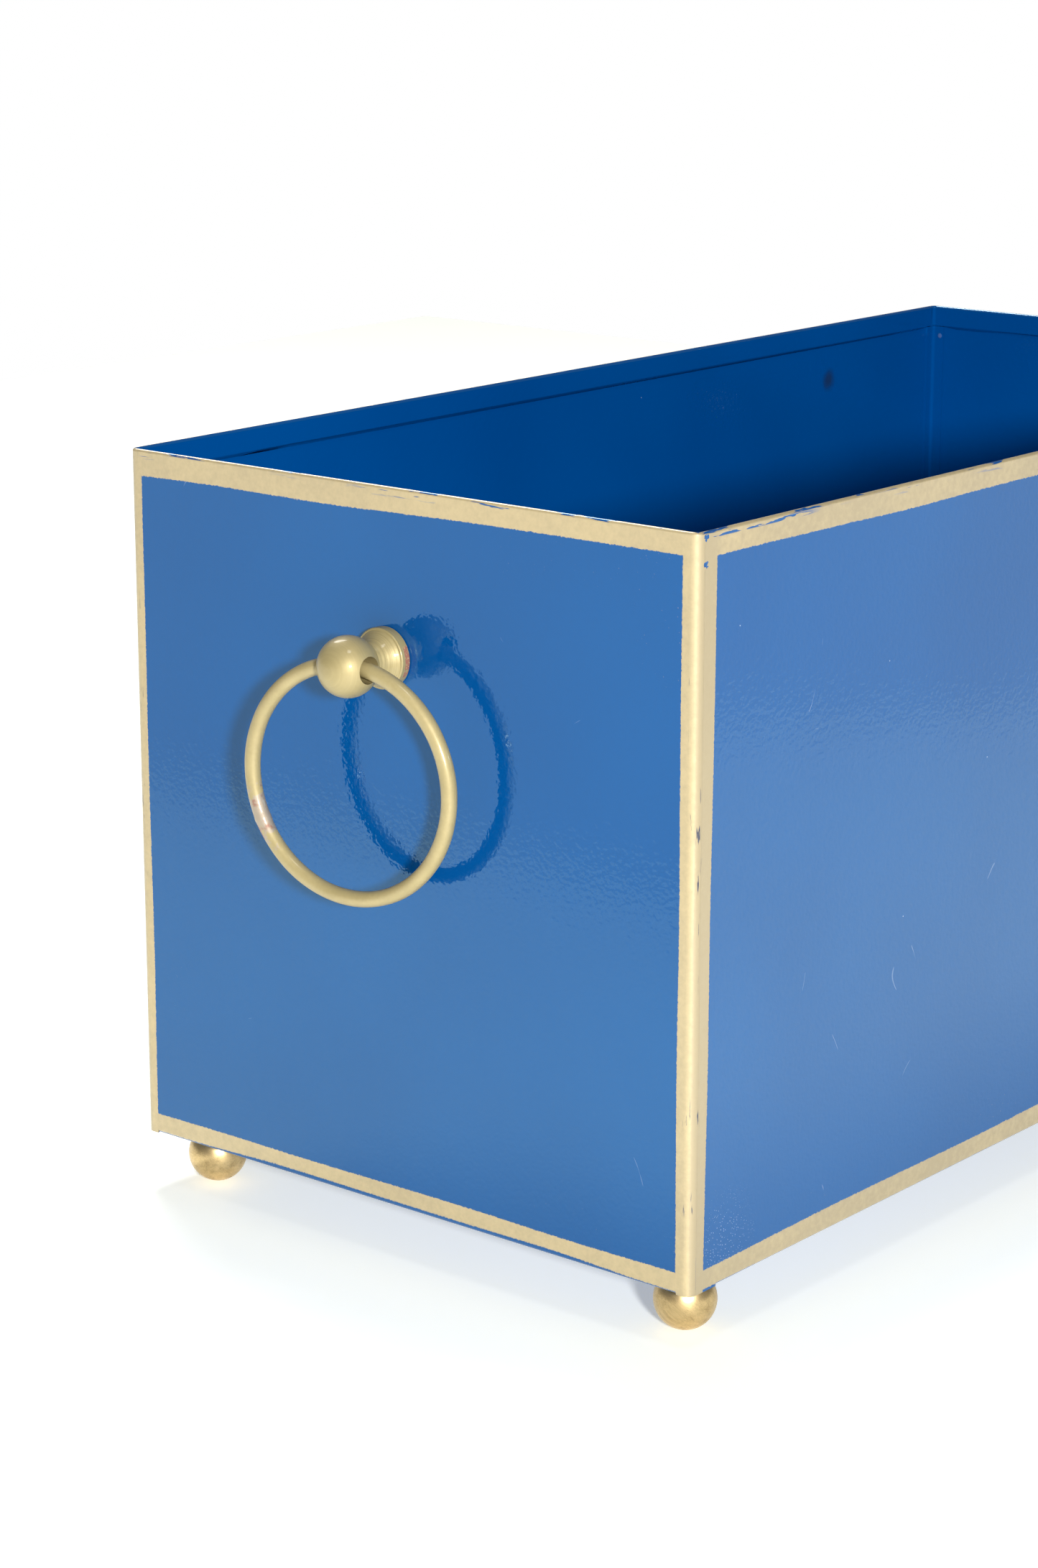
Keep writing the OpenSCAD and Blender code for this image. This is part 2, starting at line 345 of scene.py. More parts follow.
def corner_wear(g, at):
    """1 on dark rubbed marks down the corners and on knocks halfway up the front left one."""
    scuffs = g.noise(1, detail=4, stretch=(1400, 1400, 130), shift=0.29)
    some_places = g.noise(30, shift=0.91).fade(0.03, 0.12)
    rubbed = scuffs.fade(0.13, 0.18) * some_places * at.from_corner.fade(4.2 * MM, 3.2 * MM)
    beside_bend = at.from_end.fade(1.0 * MM, 1.5 * MM) * at.from_end.fade(3.0 * MM, 2.2 * MM)
    halfway = at.height.fade(0.40, 0.46) * at.height.fade(0.72, 0.64)
    knocked = scuffs.fade(0.05, 0.12) * beside_bend * halfway
    return g.larger(rubbed, knocked * at.left_half * at.front_half * at.on_long_wall)


def overspray(g, at):
    """A dusting of gold specks beside the stripes, in some places."""
    near = g.smaller(g.smaller(at.from_rim, at.from_corner), at.from_base).fade(24 * MM, 8 * MM)
    some_places = g.noise(12, shift=0.41).fade(0.05, 0.22)
    specks = g.dots(900, 0.20 * MM, 0.5, shift=0.13) * near * some_places
    return specks * g.noise(240, shift=0.6).fade(0.02, 0.12)


def base_haze(g):
    """A scuffed, hazy patch at the foot of the front wall, by its left end."""
    centre = Vector((-HALF_L + 17 * MM, -HALF_W, BASE_Z + 15 * MM))
    patch = g.spot(centre, 18 * MM, ragged=0.3, grain=60, core=0.1)
    return patch * g.dots(1400, 0.17 * MM, 0.75, shift=0.77)


def hairlines(g):
    """A few short hairline scratches."""
    lines = abs(g.noise(34, detail=0, shift=0.83)).fade(0.0026, 0.0010)
    return lines * g.noise(45, shift=0.19).fade(0.185, 0.215)


def tole_outside():
    """Enamelled outside of the walls, with gold border stripes and wear."""
    g = Graph("tole_outside")
    at = OnWall(g)
    bare = g.larger(g.larger(rim_wear(g, at), corner_chips(g)), rim_scrape(g, at))
    gold = gold_stripes(g, at) * (1.0 - bare)
    gold_like = g.larger(gold, overspray(g, at) * 0.7)
    blue, roughness, peel = blue_enamel(g, BLUE, BLUE_DEEP)
    blue = g.mix(hairlines(g) * 0.18, blue, DUST)
    blue = g.mix(base_haze(g) * 0.6, blue, DUST)
    # The gold is mottled; on the long walls it is painted darker as painted shade, and darker still by their
    # corners
    mottle = g.noise(480, detail=3, rough=0.65)
    cloud = g.noise(28, detail=2, shift=0.8)
    # Painted shade: the long walls' gold grows darker towards their corners
    darker_by_long_corners = at.on_long_wall * at.from_corner.fade(12 * MM, 6 * MM)
    dull_and_shaded = mottle * 1.2 + cloud + 0.25 + at.on_long_wall * 0.6 + darker_by_long_corners * 0.4
    gold_tone = g.mix(dull_and_shaded, GOLD_PAINT, GOLD_PAINT_DULL_AND_SHADED)
    gold_tone = g.mix(corner_wear(g, at), gold_tone, BLUE_DARK)
    g.set(
        base_color=g.mix(gold_like, blue, gold_tone),
        metallic=gold_like * 0.35,
        roughness=roughness + gold_like * (0.55 + mottle * 0.25),
        ior=1.7,
        specular_tint=g.mix(gold_like, BLUE_SHEEN, (1, 1, 1)),
        coat_weight=gold_like * 0.8,
        coat_roughness=0.10,
        normal=g.bump(gold * 0.9 + gold * mottle * 0.8, 0.03 * MM, g.bump(peel, PEEL)),
    )
    return g.material


def spot_welds(g, x, y, z):
    """1 on the spot welds down the corner laps."""
    along = g.math("PINGPONG", RIM_Z - HEM - WELD_TOP - z, WELD_STEP / 2)
    across = abs(y) - (HALF_W - WELD_IN)
    away = g.math("SQRT", g.math("POWER", along, 2.0) + g.math("POWER", across, 2.0))
    return away.fade(WELD_R, 0.5 * WELD_R) * (HALF_L - abs(x)).fade(5 * MM, 4 * MM)


def tole_inside():
    """Enamelled inside and underside of the box, its blue painted lighter than the outside's as painted light."""
    g = Graph("tole_inside")
    tone, roughness, peel = blue_enamel(g, BLUE_INSIDE_PAINTED_LIGHTER, BLUE_INSIDE_PAINTED_LIGHTER_DEEP)
    x, y, z = g.xyz()
    # Painted shade: darker, in patches, towards the bottom corners
    from_wall = g.smaller(HALF_L - abs(x), HALF_W - abs(y))
    low = z.fade(BASE_Z + 14 * MM, BASE_Z + 1 * MM) * from_wall.fade(16 * MM, 2 * MM)
    bottom_corner_shade = low * (g.noise(45, detail=4, rough=0.6) + 0.5)
    tone = g.mix(bottom_corner_shade * 0.6, tone, BOTTOM_CORNER_SHADE)
    # A round dark stain on the back wall, below the hem
    stain_at = Vector((155 * MM, HALF_W - SHEET, RIM_Z - 22.3 * MM))
    stain = g.spot(stain_at, 5.6 * MM, ragged=0.1, grain=300, core=0.2)
    tone = g.mix(stain * 0.7, tone, STAIN)
    weld = spot_welds(g, x, y, z)
    tone = g.mix(weld * 0.12, tone, DUST)
    g.set(
        base_color=tone,
        roughness=roughness + bottom_corner_shade * 0.3 + stain * 0.4,
        ior=1.6,
        specular_tint=(*BLUE_SHEEN, 1),
        normal=g.bump(weld, 0.15 * MM, g.bump(peel, PEEL)),
    )
    return g.material


# ---- Lacquer, brass and zinc ----


def turned_lacquer():
    """Gold lacquer over a turned post: fine rings about the post's own axis, its Z."""
    g = Graph("turned_lacquer")
    _, y, z = g.xyz()
    on_flare = z.fade(12 * MM, 9 * MM)
    rings = g.noise(1, detail=3, rough=0.6, stretch=(30, 30, 2600)) * (0.4 + on_flare * 0.9)
    cloud = g.noise(160, detail=3, shift=0.2)
    tone = g.mix(rings * 1.8 + cloud + 0.35, GOLD_LACQUER, GOLD_LACQUER_DULL)
    # Lacquer rubbed through to copper on one side of the base lip
    lip = z.fade(2.7 * MM, 2.1 * MM)
    worn_side = y.fade(-7.6 * MM, -8.6 * MM) * (g.noise(420, detail=3) * 2.2 + 0.72)
    worn = (lip * worn_side).fade(0.42, 0.58)
    tone = g.mix(worn, tone, COPPER_WEAR)
    pale = worn * g.noise(1500, detail=2).fade(0.05, 0.2)
    tone = g.mix(pale, tone, GOLD_LACQUER)
    g.set(
        base_color=tone,
        metallic=0.34 - worn * 0.3,
        roughness=0.52 + rings * 0.3 + worn * 0.2,
        coat_weight=0.45,
        coat_roughness=0.08,
        normal=g.bump(rings, 0.030 * MM),
    )
    return g.material


def lacquered_wire():
    """Gold lacquer on the ring's wire, with a silvery scorched patch at the brazed joint."""
    g = Graph("lacquered_wire")
    cloud = g.noise(120, detail=3)
    drawn = g.noise(900, detail=2, shift=0.3)
    tone = g.mix(cloud * 1.2 + drawn * 0.6 + 0.3, GOLD_LACQUER, GOLD_LACQUER_DULL)
    patchy = g.noise(330, detail=3, rough=0.6)
    silver = (g.distance(BRAZE_AT) + patchy * (26 * MM)).fade(9.5 * MM, 6.5 * MM)
    scorched = silver * g.noise(240, detail=3, shift=0.6).fade(0.04, 0.14)
    tone = g.mix(silver * 0.65, tone, BARE_SILVER)
    tone = g.mix(scorched * 0.75, tone, COPPER_WEAR)
    g.set(
        base_color=tone,
        metallic=0.26 + silver * 0.3,
        roughness=0.55 + cloud * 0.15 + silver * 0.05,
        coat_weight=0.6,
        coat_roughness=0.16,
        normal=g.bump(drawn + patchy * silver * 3, 0.012 * MM),
    )
    return g.material


def brushed_brass(name, turn):
    """Antique brass of a ball foot, brushed one way and darker where the brush missed."""
    g = Graph(name)
    z = g.xyz()[2]
    lines = g.noise(1, detail=3, rough=0.7, stretch=(3200, 3200, 90), turn=turn)
    broad = g.noise(1, detail=2, stretch=(420, 420, 60), turn=turn, shift=0.4)
    shade = (broad * 0.9 + lines * 0.9).fade(-0.30, 0.60)
    tone = g.mix(shade, BRASS, BRASS_DARK)
    # Painted reflection: dark blue flecks round the top stand for the blue underside mirrored in the ball
    top = FOOT_HI.z / 2
    blue_reflection_fleck = z.fade(top - 2.6 * MM, top - 1.7 * MM) * g.noise(330, shift=0.3).fade(0.03, 0.09)
    tone = g.mix(blue_reflection_fleck, tone, BLUE_DARK)
    g.set(
        base_color=tone,
        metallic=1.0 - blue_reflection_fleck * 0.9,
        roughness=0.34 + lines * 0.2 + shade * 0.1,
        anisotropic=0.3,
        normal=g.bump(lines, 0.008 * MM),
    )
    return g.material


def zinc_plate():
    """Dull zinc plate of the screws and washers inside the box."""
    g = Graph("zinc_plate")
    spangle = g.noise(700, detail=3)
    stained = g.noise(260, detail=2, shift=0.5).fade(0.0, 0.3)
    g.set(
        base_color=g.mix(spangle + stained * 0.6 + 0.15, ZINC, ZINC_DARK),
        metallic=1.0,
        roughness=0.38 + spangle * 0.3,
        normal=g.bump(spangle, 0.008 * MM),
    )
    return g.material


# ---- Mesh helpers ----


def finish_piece(obj, node, smooth_angle=38):
    """Shades a made piece, hangs it on its CAD body and lets it stand for its CAD node."""
    obj.data.shade_smooth()
    obj.data.set_sharp_from_angle(angle=math.radians(smooth_angle))
    weighted = obj.modifiers.new("face weights", "WEIGHTED_NORMAL")
    weighted.keep_sharp = True
    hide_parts(node)
    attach(obj, NODE_BODY[node])


def new_piece(name, mesh, material, place=Matrix.Identity(4)):
    """An object of that mesh in the scene."""
    obj = bpy.data.objects.new(name, mesh)
    bpy.context.scene.collection.objects.link(obj)
    if material is not None:
        mesh.materials.append(material)
    obj.matrix_world = place
    return obj


def to_mesh(bm, name):
    """The mesh that a bmesh has worked out."""
    mesh = bpy.data.meshes.new(name)
    bm.to_mesh(mesh)
    bm.free()
    return mesh


def lathe(name, profile, steps=96, closed=False):
    """A mesh turned about Z from (radius, height) points in millimetres.

    An open profile starts and ends on the axis; a closed one goes round a hole."""
    bm = bmesh.new()
    rows = []
    for radius, height in profile:
        if radius < 1e-6:
            rows.append([bm.verts.new((0, 0, height * MM))] * steps)
            continue
        rows.append([
            bm.verts.new((
                radius * MM * math.cos(2 * math.pi * i / steps),
                radius * MM * math.sin(2 * math.pi * i / steps),
                height * MM,
            ))
            for i in range(steps)
        ])
    pairs = list(zip(rows, rows[1:]))
    if closed:
        pairs.append((rows[-1], rows[0]))
    for low, high in pairs:
        for i in range(steps):
            j = (i + 1) % steps
            corners = []
            for v in (low[i], low[j], high[j], high[i]):
                if v not in corners:
                    corners.append(v)
            if len(corners) > 2:
                bm.faces.new(corners)
    bmesh.ops.recalc_face_normals(bm, faces=bm.faces)
    return to_mesh(bm, name)


def arc(centre, radius, start, end, steps):
    """Points along an arc in the profile plane, angles in degrees from the radius axis."""
    angles = [math.radians(start + (end - start) * i / steps) for i in range(steps + 1)]
    return [(centre[0] + radius * math.cos(a), centre[1] + radius * math.sin(a)) for a in angles]


def cut(obj, cutter_mesh, place):
    """Subtracts a mesh from a piece."""
    cutter = new_piece("cutter", cutter_mesh, None, place)
    boolean = obj.modifiers.new("cut", "BOOLEAN")
    boolean.operation = "DIFFERENCE"
    boolean.solver = "EXACT"
    boolean.object = cutter
    apply_modifiers(obj)
    bpy.data.objects.remove(cutter)


def apply_modifiers(obj):
    """Bakes the modifiers of a piece into its mesh."""
    bpy.context.view_layer.update()
    graph = bpy.context.evaluated_depsgraph_get()
    mesh = bpy.data.meshes.new_from_object(obj.evaluated_get(graph), depsgraph=graph)
    obj.modifiers.clear()
    obj.data = mesh


# ---- Sheet metal ----

DENT = 0.09 * MM
CELL = 12 * MM
# Points closer than this to an edge of the CAD sheet are taken to lie on it
NEAR = 0.01 * MM
# Faces less deep than this, half the sheet, are its outside skin
SKIN = 0.45 * MM
# Enamel has run into the step below the hem, except by the corners
HEM_FILL = 1.0 * MM
HEM_FREE = 8 * MM


def dent(p, from_edge):
    """How far the sheet is pushed inward at a point, fading out towards its bends."""
    hollow = noise.noise(p * 9.0) + 0.5 * noise.noise(p * 21.0 + Vector((3.1, 1.7, 0.4)))
    ease = min(max((from_edge - 4 * MM) / (45 * MM), 0.0), 1.0)
    ease = ease * ease * (3 - 2 * ease)
    return DENT * ease * (0.9 + 0.6 * hollow)


def grid(low, high, extra=()):
    """Cut positions every CELL between two limits, with the extra ones."""
    count = int((high - low) / CELL)
    even = [low + (high - low) * i / count for i in range(1, count)]
    return even + list(extra)


def sheet_cuts():
    """Planes that divide the walls: even cells, and lines hugging each bend and the hem."""
    hug = 0.4 * MM
    ends = HALF_L - CORNER_R - hug
    sides = HALF_W - CORNER_R - hug
    heights = [BASE_Z + BASE_R + hug, RIM_Z - SHEET - hug, RIM_Z - HEM + hug]
    return {
        0: grid(-HALF_L, HALF_L, (-ends, ends)),
        1: grid(-HALF_W, HALF_W, (-sides, sides)),
        2: grid(BASE_Z, RIM_Z, heights),
    }


def close_gap(v):
    """Moves a point on the bottom panel's outline out to the walls, as the enamel fills the gap."""
    gap = SHEET + 0.05 * MM
    centre = Vector((
        math.copysign(HALF_L - CORNER_R, v.co.x),
        math.copysign(HALF_W - CORNER_R, v.co.y),
    ))
    arm = v.co.xy - centre
    past_x = arm.x * centre.x > 0
    past_y = arm.y * centre.y > 0
    if past_x and past_y:
        v.co.xy = centre + arm.normalized() * (CORNER_R - gap)
    elif abs(abs(v.co.x) - PANEL_HI.x) < NEAR:
        v.co.x = math.copysign(HALF_L - gap, v.co.x)
    elif abs(abs(v.co.y) - PANEL_HI.y) < NEAR:
        v.co.y = math.copysign(HALF_W - gap, v.co.y)


def cad_cells(node):
    """A bmesh of the CAD sheet, cut into cells."""
    bm = bmesh.new()
    bm.from_mesh(frame["nodes"][node].data)
    bmesh.ops.remove_doubles(bm, verts=bm.verts, dist=0.001 * MM)
    for axis, places in sheet_cuts().items():
        normal = Vector([1.0 if i == axis else 0.0 for i in range(3)])
        for place in places:
            everything = list(bm.verts) + list(bm.edges) + list(bm.faces)
            bmesh.ops.bisect_plane(
                bm, geom=everything, dist=0.0005 * MM, plane_co=normal * place, plane_no=normal
            )
    bmesh.ops.recalc_face_normals(bm, faces=bm.faces)
    return bm


def is_skin(c):
    """Whether a face with that centre is on the box's outside skin or on top of the rim."""
    from_end = HALF_L - abs(c.x)
    from_side = HALF_W - abs(c.y)
    depth = min(from_end, from_side)
    if max(from_end, from_side) < CORNER_R:
        depth = CORNER_R - Vector((CORNER_R - from_end, CORNER_R - from_side)).length
    return depth < SKIN or c.z > RIM_Z - SHEET


def shape_panel(bm):
    """Lets the bottom panel sag a little and closes its outline."""
    for v in bm.verts:
        edge = min(HALF_L - abs(v.co.x), HALF_W - abs(v.co.y))
        v.co.z -= 0.5 * dent(v.co, edge)
        close_gap(v)


def shape_wall(bm, axis):
    """Gives a wall that faces along the axis shallow dents, and fills the step below its hem."""
    half = HALF_L if axis == 0 else HALF_W
    for v in bm.verts:
        across = HALF_W - abs(v.co.y) if axis == 0 else HALF_L - abs(v.co.x)
        depth = half - abs(v.co[axis])
        if depth > 3 * SHEET:
            continue
        at_hem_root = abs(v.co.z - RIM_Z + HEM) < NEAR and abs(depth - SHEET) < 10 * NEAR
        if at_hem_root and across > HEM_FREE:
            v.co.z -= HEM_FILL
        edge = min(across, v.co.z - BASE_Z, RIM_Z - v.co.z)
        inward = -math.copysign(1.0, v.co[axis])
        v.co[axis] += inward * dent(v.co, edge)


def make_panel(node):
    """The bottom panel, plain blue all over."""
    bm = cad_cells(node)
    shape_panel(bm)
    name = node + "_painted"
    finish_piece(new_piece(name, to_mesh(bm, name), INSIDE), node)


def make_wall(node, axis):
    """A wall with its outside striped and its inside plain blue."""
    bm = cad_cells(node)
    for face in bm.faces:
        face.material_index = 0 if is_skin(face.calc_center_median()) else 1
    shape_wall(bm, axis)
    name = node + "_painted"
    mesh = to_mesh(bm, name)
    piece = new_piece(name, mesh, OUTSIDE)
    mesh.materials.append(INSIDE)
    finish_piece(piece, node)


# ---- Turned parts and fasteners ----

FOOT_LO, FOOT_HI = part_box("foot_front_left")
FOOT_R = (FOOT_HI.x - FOOT_LO.x) / 2 / MM
FOOT_H = FOOT_HI.z / MM
# The tapped bore that a foot and a post each have
BORE_R = 2.0
BORE_DEPTH = 9


def foot_profile():
    """Ball standing on z = 0 with a flat on top and a countersunk tapped bore."""
    flat_r = math.sqrt(FOOT_R**2 - (FOOT_H - FOOT_R) ** 2)
    top = math.degrees(math.atan2(FOOT_H - FOOT_R, flat_r))
    ball = arc((0, FOOT_R), FOOT_R, -90, top, 56)
    ball[0] = (0, 0)
    countersink = 0.3
    end = FOOT_H - BORE_DEPTH
    bore = [(BORE_R + countersink, FOOT_H), (BORE_R, FOOT_H - countersink), (BORE_R, end), (0, end)]
    return ball + bore


def make_foot(where, index):
    """A ball foot about its own middle; each one was brushed another way."""
    node = "foot_" + where
    lo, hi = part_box(node)
    centre = (lo + hi) / 2
    turn = (50 + 23 * index, 20 - 31 * index, 17 * index)
    mesh = lathe(node, foot_profile())
    mesh.transform(Matrix.Translation((0, 0, -hi.z / 2)))
    brass = brushed_brass(f"brushed_brass_{index}", turn)
    place = Matrix.Translation((centre.x, centre.y, hi.z / 2))
    finish_piece(new_piece(node + "_brushed", mesh, brass, place), node)


POST_REACH = (abs(pivot("left").x) - HALF_L) / MM
BALL_R = 9.5
HOLE_R = 4.2
HOLE_ROUND = 0.45
LIP_R = 9.5
LIP_H = 3.8
LIP_EDGE = 0.6
NECK_R = 5.2
# The flare sinks in by FLARE_SAG halfway up its slope, along FLARE_IN (towards the axis, down),
# and has fine grooves towards the neck
FLARE_SAG = 0.5
FLARE_IN = (0.855, 0.519)
GROOVE = 0.05
GROOVES = 5
GROOVES_FROM = 0.45


def flare_points(start_r, neck_h):
    """The flare's profile from just above the lip to the neck."""
    steps = 36
    points = []
    for i in range(3, steps):
        t = i / steps
        radius = start_r + (NECK_R - start_r) * t
        height = LIP_H + (neck_h - LIP_H) * t
        sag = FLARE_SAG * 4 * t * (1 - t)
        cut_in = sag
        if t > GROOVES_FROM:
            cut_in += GROOVE * (0.5 + 0.5 * math.cos(2 * math.pi * GROOVES * t))
        points.append((radius - FLARE_IN[0] * cut_in, height - FLARE_IN[1] * sag))
    return points


def post_profile():
    """Base lip with rounded edges, hollow flare with fine grooves, neck and ball."""
    neck_h = POST_REACH - math.sqrt(BALL_R**2 - NECK_R**2)
    flare_r = LIP_R - LIP_EDGE
    profile = [(0, BORE_DEPTH), (BORE_R, BORE_DEPTH), (BORE_R, 0), (flare_r, 0)]
    profile += arc((flare_r, LIP_EDGE), LIP_EDGE, -80, 0, 5)
    profile += arc((flare_r, LIP_H - LIP_EDGE), LIP_EDGE, 0, 80, 5)
    # A shallow groove parts the lip from the flare
    profile += [(flare_r - 0.10, LIP_H), (flare_r - 0.30, LIP_H + 0.15)]
    profile += flare_points(flare_r, neck_h)
    start = math.degrees(math.asin((neck_h - POST_REACH) / BALL_R))
    profile += arc((0, POST_REACH), BALL_R, start, 90, 60)
    profile[-1] = (0, POST_REACH + BALL_R)
    return profile


def hole_cutter():
    """Cross hole about Z with rounded mouths where it leaves the ball."""
    mouth = math.sqrt(BALL_R**2 - HOLE_R**2)
    upper = arc((HOLE_R + HOLE_ROUND, mouth - 0.25 * HOLE_ROUND), HOLE_ROUND, 180, 95, 6)
    rise = [(HOLE_R + 2.0, mouth + 3.0), (0, mouth + 3.0)]
    half = [(HOLE_R, 0)] + upper + rise
    return [(r, -h) for r, h in reversed(half[1:])] + half


def make_post(side):
    """A handle post: its own Z points out of the end wall, its Y stays the frame's Y."""
    node = side + "_handle_post"
    at = pivot(side)
    out = Vector((SIDES[side], 0, 0))
    level = Vector((0, 1, 0))
    axes = Matrix((level.cross(out), level, out)).transposed()
    place = Matrix.Translation((SIDES[side] * HALF_L, at.y, at.z)) @ axes.to_4x4()
    post = new_piece(node + "_turned", lathe(node, post_profile(), 128), MATERIALS["post"], place)
    hole = place @ Matrix.Translation((0, 0, POST_REACH * MM)) @ Matrix.Rotation(math.pi / 2, 4, "X")
    cut(post, lathe("cross_hole", hole_cutter(), 72), hole)
    finish_piece(post, node)


RING_LO, RING_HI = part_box("left_handle_ring")
WIRE_R = 2.5
RING_R = (RING_HI.z - RING_LO.z) / 2 / MM - WIRE_R
# Degrees that a ring is turned about the vertical in its loose hole
RING_YAW = 7
# The brazed joint, in the ring's own plane: X towards the back, Y up
BRAZE_ANGLE = -25
BRAZE_TURN = math.radians(BRAZE_ANGLE)
BRAZE_AT = Vector((math.cos(BRAZE_TURN), math.sin(BRAZE_TURN), 0)) * RING_R * MM
RING_STEPS = 240
WIRE_STEPS = 28


def wire_radius(a):
    """The wire's radius at an angle round the ring: uneven, with a bead and a nick at the braze."""
    off = (math.degrees(a) - BRAZE_ANGLE + 180) % 360 - 180
    bead = math.exp(-((off / 2.6) ** 2))
    nick = math.exp(-(((off - 1.5) / 0.9) ** 2))
    return WIRE_R + 0.16 * bead - 0.14 * nick - 0.02 + 0.02 * math.sin(11 * a)


def ring_mesh(name):
    """Bent wire closed by a brazed joint: a little out of round, thicker at the braze."""
    bm = bmesh.new()
    rows = []
    for i in range(RING_STEPS):
        a = 2 * math.pi * i / RING_STEPS
        wave = 0.04 * math.sin(3 * a + 0.8) + 0.03 * math.sin(5 * a)
        wire = wire_radius(a)
        row = []
        for j in range(WIRE_STEPS):
            b = 2 * math.pi * j / WIRE_STEPS
            r = RING_R + wave * 0.5 - 0.03 + wire * math.cos(b)
            row.append(bm.verts.new((r * MM * math.cos(a), r * MM * math.sin(a), wire * MM * math.sin(b))))
        rows.append(row)
    for low, high in zip(rows, rows[1:] + rows[:1]):
        for j in range(WIRE_STEPS):
            k = (j + 1) % WIRE_STEPS
            bm.faces.new((low[j], high[j], high[k], low[k]))
    bmesh.ops.recalc_face_normals(bm, faces=bm.faces)
    return to_mesh(bm, name)


def make_ring(side):
    """A handle ring: its own X is level and points to the back, its Y points up."""
    node = side + "_handle_ring"
    lo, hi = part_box(node)
    yaw = math.radians(RING_YAW)
    level = Vector((SIDES[side] * math.sin(yaw), math.cos(yaw), 0))
    up = Vector((0, 0, 1))
    axes = Matrix((level, up, level.cross(up))).transposed()
    place = Matrix.Translation((lo + hi) / 2) @ axes.to_4x4()
    finish_piece(new_piece(node + "_wire", ring_mesh(node), MATERIALS["wire"], place), node)


WASHER_LO, WASHER_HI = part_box("foot_washer_front_left")
WASHER_R = (WASHER_HI.x - WASHER_LO.x) / 2 / MM
WASHER_T = (WASHER_HI.z - WASHER_LO.z) / MM
WASHER_HOLE = 2.2
HEAD_R = 3.8
HEAD_H = 2.4
DOME_R = 6.0
SHANK_R = 1.95
THREAD_PITCH = 0.7
THREAD_DEPTH = 0.22
POINT = 0.6
SLOT = (12, 1.1, 1.8)
# Each screw's slot came to rest at another angle
SLOT_FIRST = 0.6
SLOT_STEP = 1.1


def washer_profile():
    """Punched washer: rolled over on its upper edge, square below."""
    roll = 0.25
    outer = arc((WASHER_R - roll, WASHER_T - roll), roll, 0, 90, 4)
    inner = [(WASHER_HOLE + 0.15, WASHER_T), (WASHER_HOLE, WASHER_T - 0.15)]
    return [(WASHER_HOLE, 0), (WASHER_R, 0)] + outer + inner


def screw_profile(shank):
    """Threaded shank below z = 0 and a domed head above it."""
    root = SHANK_R - THREAD_DEPTH
    profile = [(0, -shank), (SHANK_R - POINT, -shank), (root, -shank + POINT)]
    # The thread stops short of the head, which leaves a plain neck
    for i in range(int((shank - 2.5) / THREAD_PITCH)):
        low = -shank + POINT + i * THREAD_PITCH
        profile += [(SHANK_R, low + 0.45 * THREAD_PITCH), (root, low + 0.95 * THREAD_PITCH)]
    profile += [(SHANK_R, -1.6), (SHANK_R, 0), (HEAD_R - 0.15, 0), (HEAD_R, 0.15)]
    start = math.degrees(math.acos(HEAD_R / DOME_R))
    dome = arc((0, HEAD_H - DOME_R), DOME_R, start, 90, 14)
    dome[-1] = (0, HEAD_H)
    return profile + dome


def slot_mesh():
    """The block that a screw's slot is cut with, about its own middle."""
    bm = bmesh.new()
    bmesh.ops.create_cube(bm, size=1.0)
    bmesh.ops.scale(bm, vec=Vector(SLOT) * MM, verts=bm.verts)
    return to_mesh(bm, "slot")


def make_washer(node, place):
    """A washer with its underside at that place."""
    mesh = lathe(node, washer_profile(), 64, closed=True)
    finish_piece(new_piece(node + "_plated", mesh, MATERIALS["zinc"], place), node)


def make_screw(node, place, shank, slot_turn):
    """A screw with the underside of its head at that place and its slot turned by an angle."""
    screw = new_piece(node + "_plated", lathe(node, screw_profile(shank), 48), MATERIALS["zinc"], place)
    slot = place @ Matrix.Translation((0, 0, HEAD_H * MM)) @ Matrix.Rotation(slot_turn, 4, "Z")
    cut(screw, slot_mesh(), slot)
    finish_piece(screw, node, 30)


def fastener_places():
    """Washer and screw nodes with the place of the face that each washer lies on."""
    places = {}
    for where in FEET:
        lo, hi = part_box("foot_washer_" + where)
        spot = Vector(((lo.x + hi.x) / 2, (lo.y + hi.y) / 2, lo.z))
        places["foot_washer_" + where, "foot_screw_" + where] = Matrix.Translation(spot)
    for side, sign in SIDES.items():
        at = pivot(side)
        spot = Vector((sign * (HALF_L - SHEET), at.y, at.z))
        turn = Matrix.Rotation(-sign * math.pi / 2, 4, "Y")
        places[side + "_handle_washer", side + "_handle_screw"] = Matrix.Translation(spot) @ turn
    return places


# ---- Building the object ----

FEET = ["front_left", "front_right", "back_left", "back_right"]
OUTSIDE = tole_outside()
INSIDE = tole_inside()
MATERIALS = {"post": turned_lacquer(), "wire": lacquered_wire(), "zinc": zinc_plate()}

for side in SIDES:
    make_wall(side + "_end_wall", 0)
    make_post(side)
    make_ring(side)
for wall in ("front_wall", "back_wall"):
    make_wall(wall, 1)
make_panel("bottom_panel")
for index, where in enumerate(FEET):
    make_foot(where, index)
for index, ((washer, screw), place) in enumerate(fastener_places().items()):
    make_washer(washer, place)
    screw_lo, screw_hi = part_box(screw)
    length = max(screw_hi - screw_lo) / MM
    seat = place @ Matrix.Translation((0, 0, WASHER_T * MM))
    make_screw(screw, seat, length - HEAD_H, SLOT_FIRST + SLOT_STEP * index)


# ---- Stage, camera and lights ----

FLOOR_GLOW = 0.46
ROOM_BELOW = 1.15
ROOM_ABOVE = 0.17
# How steeply a ray rises where the room has just left its bright part, and where it is all dim
HORIZON_LOW = -0.04
HORIZON_HIGH = 0.06
# The table reaches this far to the left, in front, and to the right and back
TABLE_LEFT = -HALF_L - 0.38
TABLE_FRONT = -HALF_W - 0.47
TABLE_FAR = 1.5
